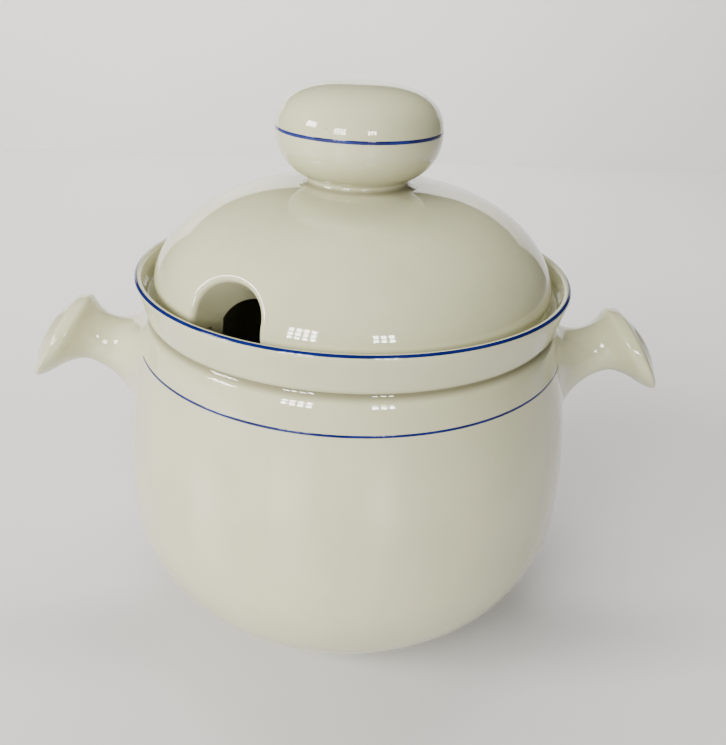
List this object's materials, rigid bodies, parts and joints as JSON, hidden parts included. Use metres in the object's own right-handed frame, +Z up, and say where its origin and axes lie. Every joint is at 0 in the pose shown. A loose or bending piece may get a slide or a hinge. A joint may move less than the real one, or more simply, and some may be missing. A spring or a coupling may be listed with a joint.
{
  "type": "soup tureen",
  "caption": "Round-bottomed glazed porcelain soup tureen with horn-shaped handles and a lift-off domed lid with a ladle notch and a large hollow knob.",
  "frame": {"origin": "centre of the foot ring's underside, where the tureen stands", "axes": "+Z up along the bowl's axis, +X through the handles, -Y towards the front, with the ladle notch at the front left"},
  "size_m": [0.2876, 0.2044, 0.239],
  "materials": {
    "bowl_glaze": "glossy off-white glaze over porcelain, cobalt blue lines round the rim and shoulder",
    "handle_glaze": "glossy off-white glaze over porcelain",
    "lid_glaze": "glossy off-white glaze over porcelain",
    "knob_glaze": "glossy off-white glaze over porcelain, one cobalt blue line round its widest part"
  },
  "bodies": {
    "bowl": {"bowl": "bowl_glaze", "handle_left": "handle_glaze", "handle_right": "handle_glaze"},
    "lid": {"lid": "lid_glaze", "knob": "knob_glaze"}
  },
  "joints": [
    {"name": "lid_lift", "type": "slide", "parent": "bowl", "child": "lid", "axis": [0, 0, 1], "range_m": [0, 0.1]}
  ]
}
